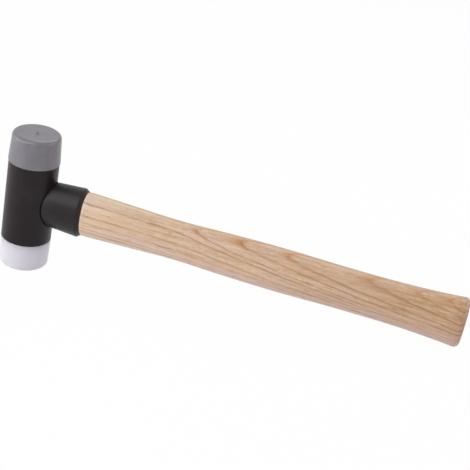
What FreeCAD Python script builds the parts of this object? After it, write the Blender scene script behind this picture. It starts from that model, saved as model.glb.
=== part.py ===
import FreeCAD, Part
import math
import os

# Recoilless soft-face mallet, in millimetres.
# Origin: the middle of the hard face. +Z runs up the head to the soft face.
# +X runs along the handle, away from the head, and the part is alike on both sides of the XZ plane.

# Head tube
tube_radius = 17.5
tube_length = 59.0
tube_wall = 2.4
chamber_wall = 3.3
tube_edge_bevel = 0.4
handle_height_on_tube = 29.8

# End discs that shut the shot chamber
disc_thickness = 2.5
disc_fit = 0.03
plug_seat_depth = 15.5

# Charge of loose steel shot
shot_fill_share = 0.7
shot_side_gap = 0.3
shot_end_gap = 0.1

# Plugs of both faces
plug_length = 12.5
plug_fit = 0.05
plug_lead_in = 1.0

# Soft face, grey
soft_cap_height = 20.5
soft_cap_radius = 17.95
soft_face_radius = 16.7
soft_edge_radius = 2.1
soft_lip_bevel = 0.4
gate_mark_radius = 1.35
gate_mark_tip_radius = 0.95
gate_mark_height = 1.2

# Hard face, white
hard_cap_height = 20.5
hard_cap_radius = 17.57
hard_face_radius = 17.05
hard_edge_radius = 3.1
hard_lip_bevel = 0.25

# Oval socket, coped to the tube
socket_reach = 38.5
socket_root_half_height = 16.7
socket_root_half_width = 12.2
socket_mouth_half_height = 18.15
socket_mouth_half_width = 13.25
rim_bevel_length = 2.0
rim_land = 0.55
bore_half_height = 16.05
bore_half_width = 11.35
braze_gap = 0.05
braze_leg = 0.9
braze_margin = 0.2

# Handle, and the resin that seals it in the mouth
resin_lip = 0.5
resin_height = 0.9
resin_fit = 0.03
tenon_fit = 0.05
tenon_end_gap = 1.5
tenon_end_bevel = 0.8
handle_reach = 309.8
butt_half_height = 18.1
butt_edge_radius = 4.2
# share of the bare length, half height as a share of the butt's, half width as a share of its own height
handle_shares = [
    (0.017, 0.895, 0.716),
    (0.128, 0.840, 0.735),
    (0.258, 0.784, 0.760),
    (0.388, 0.838, 0.775),
    (0.537, 0.864, 0.785),
    (0.685, 0.828, 0.800),
    (0.834, 0.843, 0.800),
    (0.940, 0.920, 0.795),
    (1.000, 1.000, 0.790),
]

# Long tapers and roundings are made of this many straight bands, which keeps their mesh light
handle_band_count = 16
socket_band_count = 3
edge_band_count = 3

# One overrun for every cut
overrun = 1.0

# Heights that follow from the sizes above
tube_bottom = hard_cap_height
tube_top = tube_bottom + tube_length
soft_face_height = tube_top + soft_cap_height
handle_height = tube_bottom + handle_height_on_tube
plug_bore_radius = tube_radius - tube_wall
chamber_radius = tube_radius - chamber_wall
chamber_bottom = tube_bottom + plug_seat_depth
chamber_length = tube_length - plug_seat_depth * 2
shot_height = chamber_length * shot_fill_share
shot_travel = chamber_length - shot_height - shot_end_gap * 2
socket_end = socket_reach + rim_bevel_length
braze_reach = tube_radius + braze_leg + braze_margin

up = FreeCAD.Vector(0, 0, 1)


def at(x, y, z):
    return FreeCAD.Vector(x, y, z)


def rod(radius, bottom, height):
    return Part.makeCylinder(radius, height, at(0, 0, bottom), up)


def line(start, end):
    return Part.makeLine(at(start[0], 0, start[1]), at(end[0], 0, end[1]))


def turned(outline):
    """Solid of revolution about the head's axis, from corners given as (radius, height)."""
    corners = list(outline) + [outline[0]]
    edges = [line(a, b) for a, b in zip(corners, corners[1:])]
    face = Part.Face(Part.Wire(edges))
    return face.revolve(at(0, 0, 0), up, 360)


def circles_at(solid, height, radius):
    """The round edges of a turned solid that lie at one height and have one radius."""
    slack = overrun / 1000
    found = []
    for edge in solid.Edges:
        if edge.Closed and edge.BoundBox.ZLength < slack and abs(edge.BoundBox.ZMin - height) < slack:
            if abs(edge.BoundBox.XMax - radius) < slack:
                found.append(edge)
    return found


def oval(x, half_height, half_width):
    """Closed oval across the handle's axis, in quarters."""
    centre = at(x, 0, handle_height)
    curve = Part.Ellipse(centre + at(0, 0, half_height), centre + at(0, half_width, 0), centre)
    quarter = math.pi / 2
    return Part.Wire([curve.toShape(quarter * number, quarter * (number + 1)) for number in range(4)])


def oval_run(sections):
    """Solid through ovals given as (x, half height, half width), with straight bands between them."""
    return Part.makeLoft([oval(*section) for section in sections], True, True)


def between(x, start, end):
    """Value at x on the straight law through (x, value) at start and at end."""
    share = (x - start[0]) / (end[0] - start[0])
    return start[1] + (end[1] - start[1]) * share


def socket_outside(x):
    """Section of the socket's outer cone at x."""
    half_height = between(x, (tube_radius, socket_root_half_height), (socket_reach, socket_mouth_half_height))
    half_width = between(x, (tube_radius, socket_root_half_width), (socket_reach, socket_mouth_half_width))
    return x, half_height, half_width


def head_tube():
    """Steel tube, bored wider at both ends so that each disc and plug stops at a shoulder."""
    tube = rod(tube_radius, tube_bottom, tube_length)
    rims = circles_at(tube, tube_bottom, tube_radius) + circles_at(tube, tube_top, tube_radius)
    tube = tube.makeChamfer(tube_edge_bevel, rims)
    tube = tube.cut(rod(chamber_radius, tube_bottom - overrun, tube_length + overrun * 2))
    tube = tube.cut(rod(plug_bore_radius, tube_bottom - overrun, plug_seat_depth + overrun))
    return tube.cut(rod(plug_bore_radius, tube_top - plug_seat_depth, plug_seat_depth + overrun))


def end_disc(bottom):
    """Pressed steel disc that lies on the shoulder in the tube."""
    return rod(plug_bore_radius - disc_fit, bottom, disc_thickness)


def shot_charge():
    """The loose shot as it lies, taken together: a short round plug of balls."""
    return rod(chamber_radius - shot_side_gap, chamber_bottom + shot_end_gap, shot_height)


def rounded(before, corner, after, radius):
    """Points that round an outline's corner, from the side of the point before it to that of the one after."""
    before, corner, after = [at(point[0], 0, point[1]) for point in (before, corner, after)]
    back, ahead = (before - corner).normalize(), (after - corner).normalize()
    half_angle = back.getAngle(ahead) / 2
    centre = corner + (back + ahead).normalize() * (radius / math.sin(half_angle))
    run = radius / math.tan(half_angle)
    start, end = corner + back * run - centre, corner + ahead * run - centre
    turn = start.getAngle(end)
    points = []
    for number in range(edge_band_count + 1):
        angle = turn * number / edge_band_count
        point = centre + (start * math.sin(turn - angle) + end * math.sin(angle)) * (1 / math.sin(turn))
        points.append((point.x, point.z))
    return points


def face_insert(seat, inward, cap_height, seam_radius, face_radius, edge_radius, lip_bevel):
    """Striking cap that stands outside the tube, with the plug that is pressed into it, as one moulding."""
    face = seat - inward * cap_height
    end = seat + inward * plug_length
    plug_radius = plug_bore_radius - plug_fit
    middle, rim, lip = (0, face), (face_radius, face), (seam_radius, seat - inward * lip_bevel)
    outline = [middle] + rounded(middle, rim, lip, edge_radius)
    outline += [lip, (seam_radius - lip_bevel, seat), (plug_radius, seat)]
    outline += [(plug_radius, end - inward * plug_lead_in), (plug_radius - plug_lead_in, end), (0, end)]
    return turned(outline)


def soft_insert():
    """Grey face, with the stub of the mould's runner left at its middle."""
    solid = face_insert(
        tube_top, -1, soft_cap_height, soft_cap_radius, soft_face_radius, soft_edge_radius, soft_lip_bevel
    )
    mark = Part.makeCone(
        gate_mark_radius, gate_mark_tip_radius, gate_mark_height, at(0, 0, soft_face_height), up
    )
    return solid.fuse(mark).removeSplitter()


def hard_insert():
    return face_insert(
        tube_bottom, 1, hard_cap_height, hard_cap_radius, hard_face_radius, hard_edge_radius, hard_lip_bevel
    )


def socket_blank():
    """Outer form of the socket from inside the tube to its bevelled mouth, with no bore."""
    pitch = (socket_reach - braze_reach) / socket_band_count
    places = [0] + [braze_reach + pitch * number for number in range(socket_band_count + 1)]
    sections = [socket_outside(x) for x in places]
    sections.append((socket_end, bore_half_height + rim_land, bore_half_width + rim_land))
    return oval_run(sections)


def handle_socket():
    """Oval sleeve with a tapered outside and a straight bore, whose root is coped to lie on the tube."""
    bore = oval_run([(x, bore_half_height, bore_half_width) for x in (0, braze_reach, socket_end + overrun)])
    return socket_blank().cut(bore).cut(rod(tube_radius + braze_gap, tube_bottom, tube_length))


def on_tube(point):
    slack = overrun / 1000
    return abs(math.hypot(point.x, point.y) - tube_radius) < slack


def socket_braze():
    """Filler metal that has run into the corner between the socket and the tube: what a bevel there adds."""
    joined = rod(tube_radius, tube_bottom, tube_length).fuse(socket_blank())
    seam = []
    for edge in joined.Edges:
        points = [edge.valueAt(edge.FirstParameter), edge.valueAt(edge.LastParameter)]
        points.append(edge.valueAt((edge.FirstParameter + edge.LastParameter) / 2))
        near_socket = all(abs(point.z - handle_height) < socket_mouth_half_height for point in points)
        if near_socket and points[-1].x > 0 and all(on_tube(point) for point in points):
            seam.append(edge)
    return joined.makeChamfer(braze_leg, seam).cut(joined)


def grip_sections():
    """Ovals along the bare handle, on a smooth curve through the sizes listed above."""
    bare_length = handle_reach - socket_end
    points = [at(socket_end, bore_half_height - tenon_fit, bore_half_width - tenon_fit)]
    for length_share, height_share, width_share in handle_shares:
        half_height = butt_half_height * height_share
        points.append(at(socket_end + bare_length * length_share, half_height, half_height * width_share))
    curve = Part.BSplineCurve()
    curve.interpolate(points)
    return [tuple(point) for point in curve.toShape().discretize(Number=handle_band_count + 1)]


def butt_sections(x, half_height, half_width):
    """Ovals that round the butt's edge, from where the rounding starts to the flat end."""
    sections = []
    for number in range(edge_band_count + 1):
        turn = math.pi / 2 * number / edge_band_count
        drop = butt_edge_radius * (1 - math.cos(turn))
        sections.append((x - butt_edge_radius * (1 - math.sin(turn)), half_height - drop, half_width - drop))
    return sections


def handle():
    """Ash handle: a straight oval tenon, then a grip with a waist, a belly and a wide butt."""
    start = tube_radius + tenon_end_gap
    half_height, half_width = bore_half_height - tenon_fit, bore_half_width - tenon_fit
    end_section = (start, half_height - tenon_end_bevel, half_width - tenon_end_bevel)
    grip = grip_sections()
    sections = [end_section, (start + tenon_end_bevel, half_height, half_width)] + grip[:-1]
    return oval_run(sections + butt_sections(*grip[-1]))


def handle_resin():
    """Bead of resin that was squeezed out round the handle at the socket's mouth."""
    half_height, half_width = bore_half_height + resin_fit, bore_half_width + resin_fit
    bead = oval_run([
        (socket_end, half_height + resin_lip, half_width + resin_lip),
        (socket_end + resin_height, half_height + resin_lip / 2, half_width + resin_lip / 2),
    ])
    hole = oval_run([
        (socket_end - overrun, half_height, half_width),
        (socket_end + resin_height + overrun, half_height, half_width),
    ])
    return bead.cut(hole)


parts = {
    "head_tube": head_tube(),
    "hard_end_disc": end_disc(chamber_bottom - disc_thickness),
    "soft_end_disc": end_disc(chamber_bottom + chamber_length),
    "shot_charge": shot_charge(),
    "soft_insert": soft_insert(),
    "hard_insert": hard_insert(),
    "handle_socket": handle_socket(),
    "socket_braze": socket_braze(),
    "handle": handle(),
    "handle_resin": handle_resin(),
}

os.makedirs("parts", exist_ok=True)
for name, shape in parts.items():
    shape.exportStep(f"parts/{name}.step")
    print(name, len(shape.Solids), "solid,", round(shape.Volume / 1000, 3), "cm3", "ok" if shape.isValid() else "INVALID")
print("travel of the shot", round(shot_travel, 2), "and length of each plug", plug_length)
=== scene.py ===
import math

import bmesh
import bpy
from mathutils import Matrix, Vector, noise


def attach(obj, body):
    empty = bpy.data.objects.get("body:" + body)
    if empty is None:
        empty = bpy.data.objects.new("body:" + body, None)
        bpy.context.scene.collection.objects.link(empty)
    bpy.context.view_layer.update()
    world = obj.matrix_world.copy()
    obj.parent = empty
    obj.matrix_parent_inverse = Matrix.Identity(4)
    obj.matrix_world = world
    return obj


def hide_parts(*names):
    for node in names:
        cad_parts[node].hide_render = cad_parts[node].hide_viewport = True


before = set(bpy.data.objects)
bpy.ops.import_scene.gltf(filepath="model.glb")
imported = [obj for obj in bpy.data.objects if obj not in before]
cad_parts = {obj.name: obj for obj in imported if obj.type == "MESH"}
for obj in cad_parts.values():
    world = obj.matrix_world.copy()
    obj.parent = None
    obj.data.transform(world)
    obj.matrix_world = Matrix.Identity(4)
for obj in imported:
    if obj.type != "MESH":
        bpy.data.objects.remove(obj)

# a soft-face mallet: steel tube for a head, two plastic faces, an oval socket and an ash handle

scene = bpy.context.scene
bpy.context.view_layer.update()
mm = 0.001
perMetre = 1000.0  # mm in a metre
tiny = 0.001  # less than this, in mm, is nothing
axisHeight = 50.3  # the handle's middle line above the hard face, in mm
print("frame loaded")


# small helpers for the nodes

def fromScreen(red, green, blue):
    # a colour as a screen shows it, 0 to 255, turned into the value a shader takes
    parts = []
    for value in (red / 255, green / 255, blue / 255):
        parts.append(value / 12.92 if value <= 0.04045 else ((value + 0.055) / 1.055) ** 2.4)
    return (*parts, 1.0)


def feed(tree, node, inputs):
    # a socket is linked, and anything else is set as the input's own value
    for key, value in inputs.items():
        if isinstance(value, bpy.types.NodeSocket):
            tree.links.new(value, node.inputs[key])
        else:
            node.inputs[key].default_value = value


def addNode(tree, kind, inputs=None, **settings):
    node = tree.nodes.new("ShaderNode" + kind)
    for key, value in settings.items():
        setattr(node, key, value)
    feed(tree, node, inputs or {})
    return node


def newMaterial(name):
    material = bpy.data.materials.new(name)
    material.use_nodes = True
    tree = material.node_tree
    tree.nodes.clear()
    shader = addNode(tree, "BsdfPrincipled")
    addNode(tree, "OutputMaterial", {"Surface": shader.outputs[0]})
    return material, tree, shader


def calc(tree, operation, first, second=0.0, third=0.0, clamp=False):
    sockets = {0: first, 1: second, 2: third}
    return addNode(tree, "Math", sockets, operation=operation, use_clamp=clamp).outputs[0]


def weigh(tree, first, second, shares):
    # the sum of two values, each times its share
    parts = [calc(tree, "MULTIPLY", value, share) for value, share in zip((first, second), shares)]
    return calc(tree, "ADD", *parts)


def mixColours(tree, share, first, second, blend="MIX"):
    sockets = {0: share, 6: first, 7: second}
    return addNode(tree, "Mix", sockets, data_type="RGBA", blend_type=blend).outputs[2]


def rescale(tree, value, source, target=(0.0, 1.0)):
    # the source range becomes the target range, and what lies outside stops at its ends
    sockets = {0: value, 1: source[0], 2: source[1], 3: target[0], 4: target[1]}
    return addNode(tree, "MapRange", sockets).outputs[0]


def greyRamp(tree, value, stops, blending="LINEAR"):
    node = addNode(tree, "ValToRGB", {0: value})
    node.color_ramp.interpolation = blending
    elements = node.color_ramp.elements
    for number, (place, grey) in enumerate(stops):
        stop = elements[number] if number < 2 else elements.new(place)
        stop.position = place
        stop.color = (grey, grey, grey, 1)
    return node.outputs[0]


def objectPlace(tree):
    return addNode(tree, "TexCoord").outputs["Object"]


def speckle(tree, place, counts, detail=2.0, roughness=0.5, distortion=0.0):
    # noise with so many patches per metre along x, y and z
    stretched = addNode(tree, "VectorMath", {0: place, 1: counts}, operation="MULTIPLY")
    sockets = {
        "Vector": stretched.outputs[0],
        "Scale": 1.0,
        "Detail": detail,
        "Roughness": roughness,
        "Distortion": distortion,
    }
    return addNode(tree, "TexNoise", sockets).outputs[0]


def speckles(tree, place, recipes):
    return {name: speckle(tree, place, **recipe) for name, recipe in recipes.items()}


def heights(span):
    # heights over the handle's middle line, in mm, as the z values that a node reads
    return [(axisHeight + height) * mm for height in span]


def around(value, swing):
    return [value + part for part in swing]


def addBump(tree, shader, height, strength, distance):
    bump = addNode(tree, "Bump", {"Height": height, "Strength": strength, "Distance": distance})
    feed(tree, shader, {"Normal": bump.outputs[0]})


# small helpers for the meshes, all in mm

def evenTurns(sides):
    return [math.tau * number / sides for number in range(sides)]


def softCorners(corners, steps):
    # corners are (across, along, rounding), and a rounding of 0 leaves the corner sharp
    points = []
    for number, (across, along, rounding) in enumerate(corners):
        corner = Vector((across, along))
        if not rounding:
            points.append(corner)
            continue
        before = (Vector(corners[number - 1][:2]) - corner).normalized()
        after = (Vector(corners[(number + 1) % len(corners)][:2]) - corner).normalized()
        half = before.angle(after) / 2
        centre = corner + (before + after).normalized() * rounding / math.sin(half)
        start = corner + before * rounding / math.tan(half) - centre
        end = corner + after * rounding / math.tan(half) - centre
        first = math.atan2(start.y, start.x)
        sweep = (math.atan2(end.y, end.x) - first + math.pi) % math.tau - math.pi
        for step in range(steps + 1):
            turn = first + sweep * step / steps
            points.append(centre + Vector((math.cos(turn), math.sin(turn))) * rounding)
    return points


def spinRings(outline, sides):
    # rings round the head's own axis; a corner on the axis becomes one point
    rings = []
    for radius, height in outline:
        if radius < tiny:
            rings.append([(0, 0, height)])
            continue
        ring = [(radius * math.cos(turn), radius * math.sin(turn), height) for turn in evenTurns(sides)]
        rings.append(ring)
    return rings


def ovalPoint(x, turn, halfHeight, halfWidth):
    # a point of an oval across the handle, which starts at its top and turns to the front
    return (x, -halfWidth * math.sin(turn), axisHeight + halfHeight * math.cos(turn))


def ovalRing(x, halfHeight, halfWidth, sides):
    return [ovalPoint(x, turn, halfHeight, halfWidth) for turn in evenTurns(sides)]


def skin(rings, joined=False):
    # faces between each ring and the next; a ring of one point closes the end
    points, faces, starts = [], [], []
    for ring in rings:
        starts.append(len(points))
        points.extend(ring)
    pairs = list(zip(range(len(rings) - 1), range(1, len(rings))))
    if joined:
        pairs.append((len(rings) - 1, 0))
    for lower, upper in pairs:
        count = max(len(rings[lower]), len(rings[upper]))
        for number in range(count):
            following = (number + 1) % count
            if len(rings[lower]) == 1:
                face = (starts[lower], starts[upper] + following, starts[upper] + number)
            elif len(rings[upper]) == 1:
                face = (starts[lower] + number, starts[lower] + following, starts[upper])
            else:
                face = (
                    starts[lower] + number, starts[lower] + following,
                    starts[upper] + following, starts[upper] + number,
                )
            faces.append(face)
    return points, faces


def makePiece(name, pointsAndFaces, materials, body, node, sharpAngle=35):
    points, faces = pointsAndFaces
    mesh = bpy.data.meshes.new(name)
    mesh.from_pydata([Vector(point) * mm for point in points], [], faces)
    work = bmesh.new()
    work.from_mesh(mesh)
    bmesh.ops.recalc_face_normals(work, faces=work.faces)
    work.to_mesh(mesh)
    work.free()
    mesh.shade_smooth()
    mesh.set_sharp_from_angle(angle=math.radians(sharpAngle))
    for material in materials:
        mesh.materials.append(material)
    piece = bpy.data.objects.new(name, mesh)
    scene.collection.objects.link(piece)
    even = piece.modifiers.new("evenNormals", "WEIGHTED_NORMAL")
    even.keep_sharp = True
    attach(piece, body)
    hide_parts(node)
    return piece


# black coating of the head

coat = {  # what the three coatings share
    "grain": {
        "clouds": {"counts": (55, 55, 55), "detail": 3},
        "peel": {"counts": (900, 900, 900), "detail": 2},
        "dust": {"counts": (3800, 3800, 3800), "detail": 3, "roughness": 0.6},
    },
    "cloudSpan": (0.3, 0.7),
    "moteSpan": (0.62, 0.8),
    "shineShares": (0.6, 0.4),  # of clouds and peel
    "roughnessSwing": (-0.06, 0.07),
    "reliefShares": (0.92, 0.08),  # of peel and dust
    "reliefDepth": 0.00006,  # in metres
}


def makeBlackCoat(name, look):
    material, tree, shader = newMaterial(name)
    grain = speckles(tree, objectPlace(tree), coat["grain"])
    tone = rescale(tree, grain["clouds"], coat["cloudSpan"])
    colour = mixColours(tree, tone, look["deep"], look["faded"])
    motes = rescale(tree, grain["dust"], coat["moteSpan"], (0.0, look["dustShare"]))
    colour = mixColours(tree, motes, colour, look["dust"])
    shine = weigh(tree, grain["clouds"], grain["peel"], coat["shineShares"])
    roughness = around(look["roughness"], coat["roughnessSwing"])
    feed(tree, shader, {
        "Base Color": colour,
        "Roughness": rescale(tree, shine, coat["cloudSpan"], roughness),
        "Specular IOR Level": look["gloss"],
    })
    relief = weigh(tree, grain["peel"], grain["dust"], coat["reliefShares"])
    addBump(tree, shader, relief, look["peelStrength"], coat["reliefDepth"])
    return material


tubeCoat = makeBlackCoat("tubeCoat", {
    "deep": fromScreen(21, 14, 16),
    "faded": fromScreen(34, 26, 28),
    "dust": fromScreen(92, 86, 86),
    "dustShare": 0.1,
    "roughness": 0.37,
    "gloss": 0.22,
    "peelStrength": 0.06,
})
# the same coat as the tube in a lighter copy: the socket's extra brightness is painted light, as it faces
# up into the light
litSocketCoat = makeBlackCoat("litSocketCoat", {
    "deep": fromScreen(32, 28, 30),
    "faded": fromScreen(42, 37, 39),
    "dust": fromScreen(98, 92, 94),
    "dustShare": 0.1,
    "roughness": 0.33,
    "gloss": 0.21,
    "peelStrength": 0.07,
})
rootShade = makeBlackCoat("rootShade", {
    "deep": fromScreen(14, 12, 13),
    "faded": fromScreen(20, 18, 18),
    "dust": fromScreen(40, 38, 38),
    "dustShare": 0.1,
    "roughness": 0.6,
    "gloss": 0.05,
    "peelStrength": 0.4,
})


# bare steel inside the head

steel = {
    "dark": fromScreen(140, 140, 142),
    "bright": fromScreen(192, 192, 194),
    "turning": {"counts": (5200, 1, 1), "detail": 3},  # fine lines round the axis
    "film": {"counts": (160, 160, 160), "detail": 4},
    "toneShares": (0.6, 0.4),  # of lines and film
    "filmSpan": (0.3, 0.7),
    "roughness": (0.26, 0.46),
    "lineStrength": 0.3,
    "lineDepth": 0.00003,
}


def makeBareSteel(name, look):
    material, tree, shader = newMaterial(name)
    place = objectPlace(tree)
    apart = addNode(tree, "SeparateXYZ", {0: place})
    squares = [calc(tree, "POWER", apart.outputs[axis], 2.0) for axis in (0, 1)]
    radius = calc(tree, "SQRT", calc(tree, "ADD", *squares))
    outward = addNode(tree, "CombineXYZ", {0: radius}).outputs[0]
    lines = speckle(tree, outward, **look["turning"])
    film = speckle(tree, place, **look["film"])
    tone = weigh(tree, lines, film, look["toneShares"])
    feed(tree, shader, {
        "Base Color": mixColours(tree, tone, look["dark"], look["bright"]),
        "Roughness": rescale(tree, film, look["filmSpan"], look["roughness"]),
        "Metallic": 1.0,
    })
    addBump(tree, shader, lines, look["lineStrength"], look["lineDepth"])
    return material


shot = {
    # the dark gap colour is painted shade between the balls
    "gap": fromScreen(60, 60, 61),
    "ball": fromScreen(176, 176, 178),
    "ballsPerMetre": 400.0,
    "disorder": 0.7,
    "ballSpan": (0.0, 0.6),
    "roughness": 0.3,
    "ballStrength": 0.9,
    "ballDepth": 0.0012,
}


def makeShot(name, look):
    material, tree, shader = newMaterial(name)
    sockets = {
        "Vector": objectPlace(tree),
        "Scale": look["ballsPerMetre"],
        "Randomness": look["disorder"],
    }
    cells = addNode(tree, "TexVoronoi", sockets)
    # each ball is painted darker towards its edge, painted shade in the gaps between the balls; the same
    # dome also gives the bump
    fall = rescale(tree, cells.outputs["Distance"], look["ballSpan"], (1.0, 0.0))
    dome = calc(tree, "SQRT", fall)
    feed(tree, shader, {
        "Base Color": mixColours(tree, dome, look["gap"], look["ball"]),
        "Metallic": 1.0,
        "Roughness": look["roughness"],
    })
    addBump(tree, shader, dome, look["ballStrength"], look["ballDepth"])
    return material


bareSteel = makeBareSteel("bareSteel", steel)
shotSteel = makeShot("shotSteel", shot)


# moulded faces

moulding = {  # what both plastics share
    "grain": {
        "clouds": {"counts": (70, 70, 70), "detail": 3},
        "fine": {"counts": (1500, 1500, 1500), "detail": 3, "roughness": 0.6},
        "flow": {"counts": (240, 240, 45), "detail": 2},
    },
    "toneShares": (0.65, 0.35),  # of clouds and flow
    "toneSpan": (0.35, 0.65),
    "speckSpan": (0.64, 0.78),
    "roughnessSwing": (-0.04, 0.05),
    "milkRadius": (1.0, 0.9, 1.0),
    "reliefShares": (0.5, 0.5),  # of fine grain and clouds
    "reliefDepth": 0.00008,
}


def makeMoulding(name, look):
    material, tree, shader = newMaterial(name)
    grain = speckles(tree, objectPlace(tree), moulding["grain"])
    tone = weigh(tree, grain["clouds"], grain["flow"], moulding["toneShares"])
    tone = rescale(tree, tone, moulding["toneSpan"])
    colour = mixColours(tree, tone, look["deep"], look["light"])
    specks = rescale(tree, grain["fine"], moulding["speckSpan"], (0.0, look["speckShare"]))
    roughness = around(look["roughness"], moulding["roughnessSwing"])
    feed(tree, shader, {
        "Base Color": mixColours(tree, specks, colour, look["speck"]),
        "Roughness": rescale(tree, tone, (0.0, 1.0), roughness),
        "Specular IOR Level": look["gloss"],
        "Subsurface Weight": look["milk"],
        "Subsurface Radius": moulding["milkRadius"],
        "Subsurface Scale": look["milkDepth"],
    })
    relief = weigh(tree, grain["fine"], grain["clouds"], moulding["reliefShares"])
    addBump(tree, shader, relief, look["grainStrength"], moulding["reliefDepth"])
    return material


softPlastic = makeMoulding("softPlastic", {
    "deep": fromScreen(106, 102, 110),
    "light": fromScreen(117, 113, 121),
    "speck": fromScreen(140, 137, 144),
    "speckShare": 0.25,
    "roughness": 0.32,
    "gloss": 0.6,
    "milk": 0.0,
    "milkDepth": 0.001,
    "grainStrength": 0.16,
})
hardPlastic = makeMoulding("hardPlastic", {
    "deep": fromScreen(209, 206, 216),
    "light": fromScreen(215, 212, 222),
    "speck": fromScreen(230, 227, 234),
    "speckShare": 0.3,
    "roughness": 0.32,
    "gloss": 0.5,
    "milk": 0.9,
    "milkDepth": 0.02,
    "grainStrength": 0.10,
})
print("coatings, steel and plastics made")


# ash

ashLook = {
    # the wood between the ring lines
    "body": fromScreen(189, 152, 119),
    "pale": fromScreen(227, 200, 172),
    # pink mottles in the wood, and also painted light: the underside is tinted with it
    "blushAndUnderLight": fromScreen(218, 189, 177),
    "gold": fromScreen(212, 172, 124),
    # tan towards the butt and pale near the head: partly the wood's own tone, partly painted shade and
    # light along the handle
    "tanAndFalloff": (0.86, 0.78, 0.69, 1.0),
    "paleAndLitNearHead": fromScreen(226, 203, 178),
    # a painted highlight on the wood beside the socket's rim
    "paintedRimHighlight": fromScreen(226, 208, 196),
    # the end grain's darker tone together with painted shade at the butt
    "soakedAndShaded": (0.40, 0.22, 0.13, 1.0),
    # the ring lines, the glow beside them and the open pores
    "line": fromScreen(138, 98, 64),
    "tip": fromScreen(205, 138, 82),
    "shade": fromScreen(166, 131, 101),
    "pore": fromScreen(140, 98, 66),

    "grain": {
        "waver": {"counts": (18, 45, 45), "detail": 2},
        "ripple": {"counts": (90, 260, 260), "detail": 2},
        "fading": {"counts": (26, 110, 110), "detail": 2},
        "blotches": {"counts": (75, 170, 170), "detail": 3},
        "fibres": {"counts": (30, 1050, 1050), "detail": 5, "roughness": 0.7},
        "streaks": {"counts": (11, 380, 380), "detail": 3, "roughness": 0.6},
        "patches": {"counts": (24, 90, 90), "detail": 3},
        "flecks": {"counts": (340, 850, 850), "detail": 3, "roughness": 0.6},
        "mottles": {"counts": (130, 230, 230), "detail": 2},
        "gilding": {"counts": (13, 130, 130), "detail": 3, "roughness": 0.6},
        "dashes": {"counts": (120, 2600, 2600), "detail": 2},
    },

    # where the rings lie: lean in degrees, then x and climb along the handle, in mm
    "ringLean": 24.9,
    "rise": [
        (40, -1.45), (75, -0.5), (110, 0.55), (150, 3.23),
        (190, 6.58), (230, 10.22), (270, 13.23), (310, 15.37),
    ],
    "riseRange": (-2.0, 16.0),
    "waverSwing": (-0.8, 0.8),
    "rippleSwing": (-0.35, 0.35),
    "rings": [  # depth in mm and how plainly each ring line shows
        (-27.0, 0.5), (-20.5, 0.8), (-14.6, 0.6), (-9.8, 0.45), (-4.7, 0.7), (-1.7, 0.6),
        (3.4, 0.2), (7.7, 0.5), (10.7, 0.15), (13.0, 1.0), (15.2, 0.8), (18.7, 1.0),
        (21.5, 1.0), (25.7, 1.0), (28.9, 0.6), (30.9, 0.9), (34.6, 0.9), (38.5, 0.9),
    ],
    # over one year's growth, how dark the line is and how strong the glow
    "lineStops": [(0.0, 0.1), (0.03, 0.0), (0.78, 0.0), (0.92, 0.25), (0.965, 1.0), (1.0, 0.3)],
    "glowStops": [(0.0, 0.45), (0.1, 0.0), (0.64, 0.0), (0.92, 0.75), (1.0, 0.8)],

    "spans": {  # from this range of a reading to this range of the share it gives
        "fading": ((0.32, 0.62), (0.25, 1.0)),
        "blotches": ((0.38, 0.62), (0.35, 1.15)),
        "tone": ((0.4, 0.6), (0.0, 1.0)),
        "flecks": ((0.38, 0.62), (0.905, 1.095)),
        "goldMottles": ((0.5, 0.66), (0.0, 0.3)),
        "pinkMottles": ((0.48, 0.34), (0.0, 0.3)),
        "gilding": ((0.5, 0.66), (0.0, 0.45)),
        "pinkPatches": ((0.45, 0.7), (0.0, 0.4)),
        "linesByHeight": ((0.0, 1.0), (0.95, 0.5)),
        "pores": ((0.58, 0.68), (0.0, 0.55)),
        "endFacing": ((0.45, 0.95), (0.0, 0.4)),
        # heights over the middle line, in mm
        # painted light: the handle's underside is paler and pinker from this height down
        "paintedUnderLight": (heights((4, -9)), (0.0, 0.55)),
        "upperSide": (heights((7, 14)), (0.0, 1.0)),
        # mm along the handle
        # darker towards the butt and paler near the head: partly the wood's tone, partly painted shade
        # and light
        "tanAndFalloffAlong": ((60.0, 270.0), (0.0, 0.95)),
        "paleAndLitAlong": ((40.0, 120.0), (0.4, 0.0)),
        # the painted highlight beside the rim
        "rimHighlightReach": ((40.0, 42.0), (0.7, 0.0)),
        "reddening": ((70.0, 170.0), (0.25, 1.0)),
        # the butt's darker rounding: partly end grain, partly painted shade
        "soakedAndShadedReach": ((299.0, 308.0), (0.0, 0.16)),
    },
    "toneShares": (0.5, 0.5),  # of fibres and streaks
    # painted light: how far the underside is spared the darkening along the handle
    "underLightWeight": 1.4,
    "rimHighlightRaggedness": -3.0,
    "poreCrowding": (0.12, -0.03),
    "soakedAndShadedRaggedness": (5.0, -2.5),

    "roughness": 0.38,
    "roughnessSwing": (0.05, -0.03),
    "gloss": 0.35,
    "lacquer": 0.16,
    "lacquerRoughness": 0.28,
    "fibreRelief": 0.4,
    "poreRelief": 0.8,
    "reliefStrength": 0.35,
    "reliefDepth": 0.00008,
}


def climbOfRings(tree, alongMm, look):
    # how far the growth rings have climbed at each place along the handle
    low, high = look["rise"][0][0], look["rise"][-1][0]
    least, most = look["riseRange"]
    node = addNode(tree, "FloatCurve", {"Value": rescale(tree, alongMm, (low, high))})
    points = node.mapping.curves[0].points
    spots = [((x - low) / (high - low), (rise - least) / (most - least)) for x, rise in look["rise"]]
    points[0].location = spots[0]
    points[-1].location = spots[-1]
    for spot in spots[1:-1]:
        points.new(*spot)
    node.mapping.update()
    return calc(tree, "MULTIPLY_ADD", node.outputs[0], most - least, least)


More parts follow.
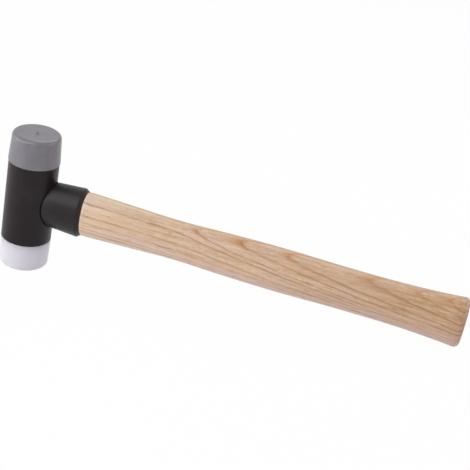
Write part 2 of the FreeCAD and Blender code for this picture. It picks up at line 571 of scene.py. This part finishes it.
def ringDepth(tree, apart, alongMm, grain, look):
    # how deep each place lay in the tree, across its leaning, climbing and wavering rings
    lean = math.radians(look["ringLean"])
    sideways, upright = math.sin(lean), math.cos(lean)
    frontward = calc(tree, "MULTIPLY", apart.outputs[1], -perMetre * sideways)
    upward = calc(tree, "MULTIPLY_ADD", apart.outputs[2], perMetre * upright, -axisHeight * upright)
    depth = calc(tree, "ADD", frontward, upward)
    depth = calc(tree, "ADD", depth, climbOfRings(tree, alongMm, look))
    for name in ("waver", "ripple"):
        swing = rescale(tree, grain[name], (0.0, 1.0), look[name + "Swing"])
        depth = calc(tree, "ADD", depth, swing)
    return depth


def ringMasks(tree, depth, grain, look):
    # uneven growth rings: the count of years goes up by one at each ring line
    rings, plainness = zip(*look["rings"])
    spread, years = rings[-1] - rings[0], len(rings) - 1
    ages = [((ring - rings[0]) / spread, year / years) for year, ring in enumerate(rings)]
    age = greyRamp(tree, rescale(tree, depth, (rings[0], rings[-1])), ages)
    season = calc(tree, "FRACT", calc(tree, "MULTIPLY", age, float(years)))
    strengths = [(year / years, plain) for year, plain in enumerate(plainness[1:])]
    strength = greyRamp(tree, age, strengths, "CONSTANT")
    lines = calc(tree, "MULTIPLY", greyRamp(tree, season, look["lineStops"]), strength)
    lines = calc(tree, "MULTIPLY", lines, rescale(tree, grain["fading"], *look["spans"]["fading"]))
    glowShape = greyRamp(tree, season, look["glowStops"])
    blotches = rescale(tree, grain["blotches"], *look["spans"]["blotches"])
    glow = calc(tree, "MULTIPLY", calc(tree, "MULTIPLY", glowShape, blotches), strength)
    return lines, glow, glowShape


def makeAsh(name, look):
    material, tree, shader = newMaterial(name)
    place = objectPlace(tree)
    apart = addNode(tree, "SeparateXYZ", {0: place})
    alongMm = calc(tree, "MULTIPLY", apart.outputs[0], perMetre)
    grain = speckles(tree, place, look["grain"])
    depth = ringDepth(tree, apart, alongMm, grain, look)
    lines, glow, glowShape = ringMasks(tree, depth, grain, look)

    def share(value, span):
        return rescale(tree, value, *look["spans"][span])

    def tint(amount, base, colourName, blend="MIX"):
        return mixColours(tree, amount, base, look[colourName], blend)

    # colour of the wood between the lines
    tone = share(weigh(tree, grain["fibres"], grain["streaks"], look["toneShares"]), "tone")
    colour = mixColours(tree, tone, look["body"], look["pale"])
    colour = mixColours(tree, 1.0, colour, share(grain["flecks"], "flecks"), "MULTIPLY")
    colour = tint(share(grain["mottles"], "goldMottles"), colour, "gold")
    colour = tint(share(grain["mottles"], "pinkMottles"), colour, "blushAndUnderLight")
    colour = tint(share(grain["gilding"], "gilding"), colour, "gold")
    # the underside is painted paler and pinker: painted light
    paintedUnderLight = share(apart.outputs[2], "paintedUnderLight")
    pinkAndUnderLight = calc(tree, "ADD", paintedUnderLight, share(grain["patches"], "pinkPatches"))
    colour = tint(pinkAndUnderLight, colour, "blushAndUnderLight")

    # darker and tanner from the head to the butt, and paler near the head: partly the wood's own tone,
    # partly painted shade and light falling off along the handle; less so on the underside, which is
    # painted light
    underLightLift = calc(tree, "MULTIPLY", paintedUnderLight, look["underLightWeight"])
    tanAndFalloffShare = calc(tree, "SUBTRACT", 1.0, underLightLift)
    tanAndFalloffShare = calc(tree, "MULTIPLY", share(alongMm, "tanAndFalloffAlong"), tanAndFalloffShare)
    colour = tint(tanAndFalloffShare, colour, "tanAndFalloff", "MULTIPLY")
    colour = tint(share(alongMm, "paleAndLitAlong"), colour, "paleAndLitNearHead")

    # a pale, ragged strip on the wood beside the socket: a painted highlight along the rim
    paintedRimHighlight = calc(tree, "MULTIPLY_ADD", grain["patches"], look["rimHighlightRaggedness"], alongMm)
    colour = tint(share(paintedRimHighlight, "rimHighlightReach"), colour, "paintedRimHighlight")

    # the glow is redder where a ring runs out at the top, and the line is weaker there
    upperSide = share(apart.outputs[2], "upperSide")
    redness = calc(tree, "MULTIPLY", upperSide, share(alongMm, "reddening"))
    colour = mixColours(tree, glow, colour, mixColours(tree, redness, look["shade"], look["tip"]))
    lines = calc(tree, "MULTIPLY", lines, share(upperSide, "linesByHeight"))
    colour = tint(lines, colour, "line")

    # open pores, short dashes that crowd along each line
    crowd = calc(tree, "MULTIPLY_ADD", glowShape, *look["poreCrowding"])
    pores = share(calc(tree, "ADD", grain["dashes"], crowd), "pores")
    colour = tint(pores, colour, "pore")

    # end grain drinks more lacquer and turns darker; the darkening at the end and the butt's rounding is
    # partly that tone and partly painted shade
    normal = addNode(tree, "TexCoord").outputs["Normal"]
    facing = addNode(tree, "SeparateXYZ", {0: normal}).outputs[0]
    perFibre, start = look["soakedAndShadedRaggedness"]
    soakedAndShaded = calc(tree, "ADD", alongMm, start)
    soakedAndShaded = calc(tree, "MULTIPLY_ADD", grain["fibres"], perFibre, soakedAndShaded)
    endShare = calc(tree, "ADD", share(facing, "endFacing"), share(soakedAndShaded, "soakedAndShadedReach"))
    colour = tint(endShare, colour, "soakedAndShaded", "MULTIPLY")

    roughness = around(look["roughness"], look["roughnessSwing"])
    feed(tree, shader, {
        "Base Color": colour,
        "Roughness": rescale(tree, tone, (0.0, 1.0), roughness),
        "Specular IOR Level": look["gloss"],
        "Coat Weight": look["lacquer"],
        "Coat Roughness": look["lacquerRoughness"],
    })
    raised = calc(tree, "MULTIPLY", grain["fibres"], look["fibreRelief"])
    relief = calc(tree, "SUBTRACT", raised, calc(tree, "MULTIPLY", pores, look["poreRelief"]))
    addBump(tree, shader, relief, look["reliefStrength"], look["reliefDepth"])
    return material


ashWood = makeAsh("ash", ashLook)

resinLook = {
    "dark": fromScreen(46, 25, 14),
    "clear": fromScreen(82, 40, 26),
    "swirl": {"counts": (420, 420, 420), "detail": 3, "roughness": 0.55, "distortion": 0.6},
    "clearerBelowHeights": (9, -11),
    "clearerBelowShare": (-0.15, 0.75),
    "swirlSpan": (0.3, 0.7),
    "swirlShare": (-0.2, 0.25),
    "roughness": 0.34,
    "gloss": 0.2,
    "swirlStrength": 0.4,
    "swirlDepth": 0.00015,
}


def makeResin(name, look):
    # darker at the top and clearer below
    material, tree, shader = newMaterial(name)
    place = objectPlace(tree)
    swirl = speckle(tree, place, **look["swirl"])
    height = addNode(tree, "SeparateXYZ", {0: place}).outputs[2]
    clearerBelow = rescale(tree, height, heights(look["clearerBelowHeights"]), look["clearerBelowShare"])
    thin = rescale(tree, swirl, look["swirlSpan"], look["swirlShare"])
    clear = calc(tree, "ADD", clearerBelow, thin, clamp=True)
    feed(tree, shader, {
        "Base Color": mixColours(tree, clear, look["dark"], look["clear"]),
        "Roughness": look["roughness"],
        "Specular IOR Level": look["gloss"],
    })
    addBump(tree, shader, swirl, look["swirlStrength"], look["swirlDepth"])
    return material


resin = makeResin("resin", resinLook)
print("wood and resin made")


# head tube

tube = {
    "radius": 17.5,
    "bottom": 20.5,
    "top": 79.5,
    "plugBore": 15.1,
    "chamberBore": 14.2,
    "seatDepth": 15.5,
    "rimRounding": 0.45,
    "boreRounding": 0.2,
    "bareRim": 0.35,  # how far past the bore its end is still bare steel
    "sides": 144,
    "cornerSteps": 6,
}


def makeTube(size):
    low, high, seat = size["bottom"], size["top"], size["seatDepth"]
    bore, chamber = size["plugBore"], size["chamberBore"]
    rim, small = size["rimRounding"], size["boreRounding"]
    outline = softCorners([
        (size["radius"], low, rim),
        (size["radius"], high, rim),
        (bore, high, small),
        (bore, high - seat, 0),
        (chamber, high - seat, small),
        (chamber, low + seat, small),
        (bore, low + seat, 0),
        (bore, low, small),
    ], size["cornerSteps"])
    shape = skin(spinRings(outline, size["sides"]), joined=True)
    piece = makePiece("headTube", shape, [tubeCoat, bareSteel], "head", "head_tube")
    for face in piece.data.polygons:
        if math.hypot(face.center.x, face.center.y) < (bore + size["bareRim"]) * mm:
            face.material_index = 1
    return piece


makeTube(tube)


# striking faces with their plugs

softFace = {
    "seat": 79.5,
    "inward": -1,
    "capHeight": 20.5,
    "seamRadius": 17.95,
    "faceRadius": 16.7,
    "edgeRounding": 2.7,
    "lipRounding": 0.35,
    # the stub of the mould's runner, torn off with a pit at its middle: across and up
    "gateMark": [
        (0, 0.2), (0.3, 0.3), (0.48, 0.95), (0.62, 1.16),
        (0.9, 1.12), (1.1, 0.5), (1.35, 0.15), (1.9, 0.0),
    ],
}
hardFace = {
    "seat": 20.5,
    "inward": 1,
    "capHeight": 20.5,
    "seamRadius": 17.57,
    "faceRadius": 17.05,
    "edgeRounding": 3.1,
    "lipRounding": 0.22,
    "gateMark": [(0, 0)],  # plain
}
plug = {
    "radius": 15.05,
    "length": 12.5,
    "leadIn": 1.0,
    "rounding": 0.3,
    "sides": 144,
    "cornerSteps": 10,
}


def makeFace(name, size, material, body, node):
    inward, seat = size["inward"], size["seat"]
    face = seat - inward * size["capHeight"]
    end = seat + inward * plug["length"]
    corners = [(across, face - inward * up, 0) for across, up in size["gateMark"]]
    corners += [
        (size["faceRadius"], face, size["edgeRounding"]),
        (size["seamRadius"], seat, size["lipRounding"]),
        (plug["radius"], seat, 0),
        (plug["radius"], end - inward * plug["leadIn"], plug["rounding"]),
        (plug["radius"] - plug["leadIn"], end, plug["rounding"]),
        (0, end, 0),
    ]
    shape = skin(spinRings(softCorners(corners, plug["cornerSteps"]), plug["sides"]))
    return makePiece(name, shape, [material], body, node)


makeFace("softFace", softFace, softPlastic, "soft_face", "soft_insert")
makeFace("hardFace", hardFace, hardPlastic, "hard_face", "hard_insert")
print("head tube and faces made")


# oval socket

socket = {
    "rootHeight": 16.7,
    "rootWidth": 12.2,
    "rootEase": 0.35,
    "rootTuck": 0.3,
    "cornerX": 38.5,
    "cornerHeight": 18.15,
    "cornerWidth": 13.25,
    # the corner and bevel of the mouth: x, and the share of the way in to the rim
    "bevel": [
        (38.42, 0.012), (38.62, 0.06), (38.85, 0.16), (39.5, 0.5),
        (40.2, 0.86), (40.42, 0.96), (40.5, 1.04),
    ],
    "endX": 40.5,
    "landWidth": 0.55,
    "boreHeight": 16.05,
    "boreWidth": 11.35,
    "boreChamfer": 0.12,
    "boreEase": 0.3,
    "boreSteps": 3,
    "gap": 0.05,
    "sides": 160,
    "steps": 14,
    "sharpAngle": 50,
}


def socketSize(x):
    share = (x - tube["radius"]) / (socket["cornerX"] - tube["radius"])
    height = socket["rootHeight"] + (socket["cornerHeight"] - socket["rootHeight"]) * share
    width = socket["rootWidth"] + (socket["cornerWidth"] - socket["rootWidth"]) * share
    return height, width


def boreSize(x):
    # the same all the way along
    return socket["boreHeight"], socket["boreWidth"]


def copeX(turn, sizeAt, radius, rounds=12):
    # where a line along the socket meets the tube, more nearly with each round
    x = radius
    for attempt in range(rounds):
        x = math.sqrt(radius ** 2 - (sizeAt(x)[1] * math.sin(turn)) ** 2)
    return x


def socketPoint(x, turn, sizeAt):
    return ovalPoint(x, turn, *sizeAt(x))


def copedRing(sizeAt, ease, last, share):
    # coped like the root where share is 0, and straight across at x = last where it is 1
    ring = []
    for turn in evenTurns(socket["sides"]):
        root = copeX(turn, sizeAt, tube["radius"] + socket["gap"]) + ease
        ring.append(socketPoint(root + (last - root) * share, turn, sizeAt))
    return ring


def makeSocket(size):
    sides, chamfer, steps = size["sides"], size["boreChamfer"], size["steps"]
    # the root's own ring is tucked in under the braze
    tucked = []
    last = size["cornerX"] - size["rootEase"]
    for point in copedRing(socketSize, 0, last, 0):
        spot = Vector(point)
        outward = Vector((0, spot.y, spot.z - axisHeight)).normalized()
        tucked.append(tuple(spot - outward * size["rootTuck"]))
    rings = [tucked]
    for step in range(1, steps + 1):
        rings.append(copedRing(socketSize, size["rootEase"], last, step / steps))
    landHeight = size["boreHeight"] + size["landWidth"]
    landWidth = size["boreWidth"] + size["landWidth"]
    cornerHeight, cornerWidth = socketSize(size["cornerX"])
    for x, share in size["bevel"]:
        height = cornerHeight + (landHeight - cornerHeight) * share
        width = cornerWidth + (landWidth - cornerWidth) * share
        rings.append(ovalRing(x, height, width, sides))
    rimHeight, rimWidth = size["boreHeight"] + chamfer, size["boreWidth"] + chamfer
    rings.append(ovalRing(size["endX"], rimHeight, rimWidth, sides))
    rings.append(ovalRing(size["endX"] - chamfer, size["boreHeight"], size["boreWidth"], sides))
    for step in range(size["boreSteps"] + 1):
        share = 1 - step / size["boreSteps"]
        rings.append(copedRing(boreSize, 0, size["endX"] - size["boreEase"], share))
    shape = skin(rings, joined=True)
    return makePiece(
        "socketSleeve", shape, [litSocketCoat], "head", "handle_socket", size["sharpAngle"]
    )


makeSocket(socket)

braze = {
    "leg": 0.5,
    "waver": 0.2,
    "waverPitch": 0.45,
    "hollow": 0.15,
    "sink": 0.04,
    "lookAround": 0.01,  # half the turn over which the seam's direction is taken
    "sides": 240,
    "steps": 6,
    "sharpAngle": 60,
}


def seamPoint(turn):
    return Vector(socketPoint(copeX(turn, socketSize, tube["radius"]), turn, socketSize))


def makeBraze(size):
    # filler metal that ran round the root, with a hollow face and an uneven edge
    rings = []
    for turn in evenTurns(size["sides"]):
        root = seamPoint(turn)
        along = seamPoint(turn + size["lookAround"]) - seamPoint(turn - size["lookAround"])
        along.normalize()
        outward = Vector((root.x, root.y, 0)).normalized()
        overTube = outward.cross(along).normalized()
        middle = Vector((root.x, 0, axisHeight))
        if overTube.dot(root - middle) < 0:
            overTube.negate()
        overSocket = Vector(socketPoint(root.x + 1, turn, socketSize)) - root
        overSocket.normalize()
        leg = size["leg"] * (1 + size["waver"] * noise.noise(root * size["waverPitch"]))
        start, end = root + overTube * leg, root + overSocket * leg
        # keep the tube side on the round tube
        flat = Vector((start.x, start.y, 0)).normalized() * tube["radius"]
        start = Vector((flat.x, flat.y, start.z))
        bend = root + ((start + end) / 2 - root) * size["hollow"]
        ring = []
        for step in range(size["steps"] + 1):
            share = step / size["steps"]
            spot = start * (1 - share) ** 2 + bend * 2 * share * (1 - share) + end * share ** 2
            ring.append(tuple(spot))
        ring.append(tuple(root - outward * size["sink"]))
        rings.append(ring)
    shape = skin(rings, joined=True)
    return makePiece(
        "brazeBead", shape, [rootShade], "head", "socket_braze", size["sharpAngle"]
    )


makeBraze(braze)
print("socket and braze made")


# handle

handle = {
    "start": 19.0,
    "tenonHeight": 16.0,
    "tenonWidth": 11.3,
    "tenonBevel": 0.8,
    "tenonEase": 0.5,
    "mouth": 40.5,
    "mouthEase": 0.3,
    "reach": 309.8,
    "buttRounding": 4.2,
    "buttSteps": 10,
    "endRings": (0.97, 0.6, 0.3),
    "rows": [  # x, half height, half width
        (40.5, 16.0, 11.3), (45.1, 16.2, 11.6), (75.0, 15.2, 11.17), (110.0, 14.19, 10.78),
        (145.0, 15.17, 11.76), (185.1, 15.64, 12.28), (225.0, 14.99, 11.99), (265.1, 15.26, 12.21),
        (293.6, 16.65, 13.24), (309.8, 18.1, 14.3),
    ],
    "sides": 128,
    "pitch": 2.2,
}


def rowSlope(rows, number, column):
    before, after = rows[max(number - 1, 0)], rows[min(number + 1, len(rows) - 1)]
    return (after[column] - before[column]) / (after[0] - before[0])


def smoothRow(rows, x):
    # an even curve through the rows, with its slope taken from the neighbours
    number = max(k for k in range(len(rows) - 1) if rows[k][0] <= x + tiny)
    first, second = rows[number], rows[number + 1]
    length = second[0] - first[0]
    share = (x - first[0]) / length
    toFirst = 2 * share ** 3 - 3 * share ** 2 + 1
    toSecond = 3 * share ** 2 - 2 * share ** 3
    leaving = share ** 3 - 2 * share ** 2 + share
    arriving = share ** 3 - share ** 2
    values = []
    for column in (1, 2):
        slopes = rowSlope(rows, number, column), rowSlope(rows, number + 1, column)
        value = first[column] * toFirst + second[column] * toSecond
        value += length * (slopes[0] * leaving + slopes[1] * arriving)
        values.append(value)
    return values


def makeHandle(size):
    sides, rounding = size["sides"], size["buttRounding"]
    start, mouth, reach = size["start"], size["mouth"], size["reach"]
    height, width, bevel = size["tenonHeight"], size["tenonWidth"], size["tenonBevel"]
    rings = [[(start, 0, axisHeight)]]
    rings.append(ovalRing(start, height - bevel, width - bevel, sides))
    for x in (start + bevel, start + bevel + size["tenonEase"], mouth - size["mouthEase"]):
        rings.append(ovalRing(x, height, width, sides))
    last = reach - rounding
    count = round((last - mouth) / size["pitch"])
    for number in range(count + 1):
        x = mouth + (last - mouth) * number / count
        rings.append(ovalRing(x, *smoothRow(size["rows"], x), sides))
    for step in range(1, size["buttSteps"] + 1):
        turn = math.pi / 2 * step / size["buttSteps"]
        x = last + rounding * math.sin(turn)
        drop = rounding * (1 - math.cos(turn))
        buttHeight, buttWidth = smoothRow(size["rows"], x)
        rings.append(ovalRing(x, buttHeight - drop, buttWidth - drop, sides))
    middle = Vector((reach, 0, axisHeight))
    edge = [Vector(point) for point in rings[-1]]
    for share in size["endRings"]:
        rings.append([tuple(middle + (point - middle) * share) for point in edge])
    rings.append([(reach, 0, axisHeight)])
    return makePiece("ashHandle", skin(rings), [ashWood], "head", "handle")


makeHandle(handle)

resinBead = {
    "height": 0.9,
    "width": 0.5,
    "fit": 0.02,
    "waver": 0.22,
    "waverCircle": (3, 4.0),  # radius and height of the circle on which the noise is read
    "profile": [(0, 0), (0, 1), (0.45, 0.94), (0.8, 0.7), (1, 0.35), (1, 0)],
    "sides": 200,
    "sharpAngle": 60,
}


def makeResinBead(size):
    # squeezed out between the wood and the rim, a little thicker in places
    radius, level = size["waverCircle"]
    rings = []
    for turn in evenTurns(size["sides"]):
        spot = Vector((radius * math.cos(turn), radius * math.sin(turn), level))
        uneven = 1 + size["waver"] * noise.noise(spot)
        height, width = size["height"] * uneven, size["width"] * uneven
        ring = []
        for x, out in size["profile"]:
            reach = size["fit"] + width * out
            halfHeight, halfWidth = handle["tenonHeight"] + reach, handle["tenonWidth"] + reach
            ring.append(ovalPoint(handle["mouth"] + height * x, turn, halfHeight, halfWidth))
        rings.append(ring)
    shape = skin(rings, joined=True)
    return makePiece("resinBead", shape, [resin], "head", "handle_resin", size["sharpAngle"])


makeResinBead(resinBead)


# pieces inside the head keep their solids

innerPieces = {"hard_end_disc": bareSteel, "soft_end_disc": bareSteel, "shot_charge": shotSteel}

for nodeName, material in innerPieces.items():
    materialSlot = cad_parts[nodeName].material_slots[0]
    materialSlot.link = "OBJECT"
    materialSlot.material = material
print("handle, resin and inner pieces made")


# floor and world

stageLook = {
    "floorTint": fromScreen(236, 236, 236),
    "floorFleck": fromScreen(240, 240, 240),
    "fleck": {"counts": (60, 60, 60), "detail": 3},
    "roughness": 0.9,
    "gloss": 0.1,
    "whiteShare": 0.975,
    # x and z of the hard face's edge and of the handle's end, on which the mallet lies
    "restNear": (14.29, 0.0),
    "restFar": (306.77, 32.2),
    "floorSize": 6000,
    "floorGap": 0.05,
    "cells": 16,
    "white": (1, 1, 1, 1),
    "worldLight": 0.37,
}


def whiteForCamera(tree):
    # 1 where the camera, a reflection or a clear piece looks at it
    path = addNode(tree, "LightPath")
    seen = calc(tree, "ADD", path.outputs["Is Camera Ray"], path.outputs["Is Glossy Ray"])
    return calc(tree, "ADD", seen, path.outputs["Is Transmission Ray"], clamp=True)


def makePaper(name, look):
    material, tree, shader = newMaterial(name)
    fleck = speckle(tree, objectPlace(tree), **look["fleck"])
    feed(tree, shader, {
        "Base Color": mixColours(tree, fleck, look["floorTint"], look["floorFleck"]),
        "Roughness": look["roughness"],
        "Specular IOR Level": look["gloss"],
    })
    glow = addNode(tree, "Emission", {"Color": look["white"], "Strength": 1.0})
    share = calc(tree, "MULTIPLY", whiteForCamera(tree), look["whiteShare"])
    mixed = addNode(tree, "MixShader", {0: share, 1: shader.outputs[0], 2: glow.outputs[0]})
    feed(tree, tree.get_output_node("ALL"), {"Surface": mixed.outputs[0]})
    return material


def makeFloor(look):
    # a plane through the two places that the mallet rests on
    near, far = (Vector((x, 0, z)) for x, z in (look["restNear"], look["restFar"]))
    along, across = (far - near).normalized(), Vector((0, 1, 0))
    middle = (near + far) / 2 - Vector((0, 0, look["floorGap"]))
    half, cells = look["floorSize"] / 2, look["cells"]
    shares = [2 * number / cells - 1 for number in range(cells + 1)]
    points = [middle + along * half * row + across * half * column for row in shares for column in shares]
    faces = []
    for row in range(cells):
        for column in range(cells):
            corner = row * (cells + 1) + column
            faces.append((corner, corner + cells + 1, corner + cells + 2, corner + 1))
    mesh = bpy.data.meshes.new("floor")
    mesh.from_pydata([point * mm for point in points], [], faces)
    mesh.materials.append(makePaper("palePaper", look))
    floor = bpy.data.objects.new("floor", mesh)
    scene.collection.objects.link(floor)
    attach(floor, "hard_face")  # a face that is pulled out stays on the floor
    return floor


def makeWorld(look):
    world = bpy.data.worlds.new("studio")
    scene.world = world
    world.use_nodes = True
    tree = world.node_tree
    tree.nodes.clear()
    white = addNode(tree, "Background", {"Color": look["white"], "Strength": 1.0})
    light = addNode(tree, "Background", {"Color": look["white"], "Strength": look["worldLight"]})
    sockets = {0: whiteForCamera(tree), 1: light.outputs[0], 2: white.outputs[0]}
    mixed = addNode(tree, "MixShader", sockets)
    addNode(tree, "OutputWorld", {"Surface": mixed.outputs[0]})


makeFloor(stageLook)
makeWorld(stageLook)


# lamps

lamps = {  # place, aim, width and height in mm
    "top": {"place": (-140, -595, 550), "aim": (60, 0, 40), "size": (620, 680), "watts": 2.6},
    "left": {"place": (-600, -330, 200), "aim": (40, 0, 50), "size": (900, 600), "watts": 3.2},
    "right": {"place": (740, 120, 260), "aim": (60, 0, 45), "size": (600, 420), "watts": 1.4},
    "back": {"place": (60, 520, 700), "aim": (110, 0, 40), "size": (620, 400), "watts": 1.8},
}


def makeLamp(name, look):
    data = bpy.data.lights.new(name, "AREA")
    data.shape = "RECTANGLE"
    data.size, data.size_y = look["size"][0] * mm, look["size"][1] * mm
    data.energy = look["watts"]
    lamp = bpy.data.objects.new(name, data)
    place, aim = Vector(look["place"]) * mm, Vector(look["aim"]) * mm
    lamp.location = place
    lamp.rotation_mode = "QUATERNION"
    lamp.rotation_quaternion = (aim - place).to_track_quat("-Z", "Y")
    scene.collection.objects.link(lamp)


for lampName, lampLook in lamps.items():
    makeLamp(lampName + "Lamp", lampLook)


# camera

view = {  # lengths in mm, angles in degrees
    "aim": (130.0, 0.0, 50.3),
    "azimuth": 9.87,
    "elevation": 26.83,
    "roll": 11.48,
    "distance": 800.0,
    "slideRight": 19.56,
    "slideUp": 9.365,
    "lens": 89.88,
    "sensor": 36.0,
    "clip": (50.0, 20000.0),
}


def makeCamera(look):
    turn, tilt, roll = (math.radians(look[key]) for key in ("azimuth", "elevation", "roll"))
    right = Vector((math.cos(turn), math.sin(turn), 0))
    up = Vector((-math.sin(turn) * math.sin(tilt), math.cos(turn) * math.sin(tilt), math.cos(tilt)))
    back = right.cross(up)
    rolledRight = right * math.cos(roll) + up * math.sin(roll)
    rolledUp = up * math.cos(roll) - right * math.sin(roll)
    place = Vector(look["aim"]) + back * look["distance"]
    place += rolledRight * look["slideRight"] + rolledUp * look["slideUp"]
    data = bpy.data.cameras.new("camera")
    data.lens = look["lens"]
    data.sensor_width = look["sensor"]
    data.clip_start, data.clip_end = look["clip"][0] * mm, look["clip"][1] * mm
    camera = bpy.data.objects.new("camera", data)
    turned = Matrix((rolledRight, rolledUp, back)).transposed().to_4x4()
    camera.matrix_world = Matrix.Translation(place * mm) @ turned
    scene.collection.objects.link(camera)
    scene.camera = camera


makeCamera(view)
scene.view_settings.view_transform = "Standard"
print("stage, lamps and camera made")
